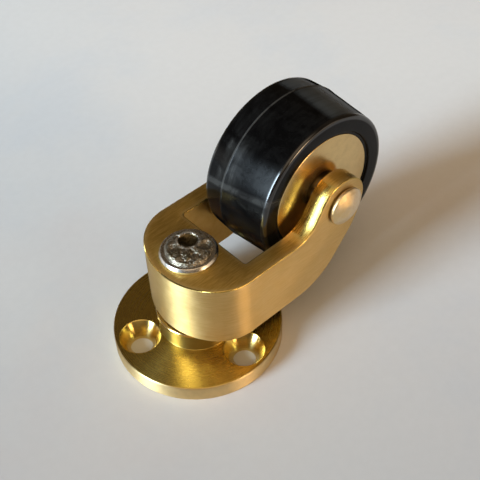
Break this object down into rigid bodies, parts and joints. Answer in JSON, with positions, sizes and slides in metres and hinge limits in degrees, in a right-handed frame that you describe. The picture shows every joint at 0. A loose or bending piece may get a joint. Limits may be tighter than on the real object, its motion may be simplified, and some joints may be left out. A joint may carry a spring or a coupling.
{
  "type": "plate swivel castor",
  "caption": "Round-plate swivel castor in brass: an offset horn turns on a ball race over a screw plate and carries a rubber-tyred wheel on a riveted axle.",
  "frame": {"origin": "centre of the plate's mounting face, on the swivel axis", "axes": "+Z along the swivel axis from the mounting face towards the wheel; +X from the swivel axis towards the wheel's axle; Y along the axle. In use the part hangs with +Z down."},
  "size_m": [0.0683, 0.038, 0.0484],
  "materials": {
    "plate_brass": "turned, polished",
    "race_brass": "turned",
    "horn_brass": "brushed satin",
    "axle_brass": "polished, hammered",
    "wheel_brass": "satin",
    "pin_steel": "peened",
    "washer_steel": "plain",
    "race_steel": "ground",
    "ball_steel": "polished",
    "bush_steel": "turned",
    "tyre_rubber": "semi-gloss moulded"
  },
  "bodies": {
    "plate": {"mounting_plate": "plate_brass", "lower_race": "race_steel", "swivel_pin": "pin_steel", "swivel_pin_washer": "washer_steel"},
    "ball_ring": {"race_balls": "ball_steel"},
    "horn": {"horn": "horn_brass", "upper_race": "race_brass", "axle_pin": "axle_brass", "near_axle_washer": "washer_steel", "far_axle_washer": "washer_steel"},
    "wheel": {"wheel_centre": "wheel_brass", "wheel_bush": "bush_steel", "tyre": "tyre_rubber"}
  },
  "joints": [
    {"name": "swivel", "type": "hinge", "parent": "plate", "child": "horn", "pos_m": [0, 0, 0.00945], "axis": [0, 0, 1], "continuous": true},
    {"name": "ball_ring_roll", "type": "hinge", "parent": "plate", "child": "ball_ring", "pos_m": [0, 0, 0.00827], "axis": [0, 0, 1], "continuous": true},
    {"name": "wheel_spin", "type": "hinge", "parent": "horn", "child": "wheel", "pos_m": [0.0303, 0, 0.0294], "axis": [0, 1, 0], "continuous": true}
  ],
  "couplings": [
    {"joint": "ball_ring_roll", "follows": "swivel", "ratio": 0.5}
  ]
}
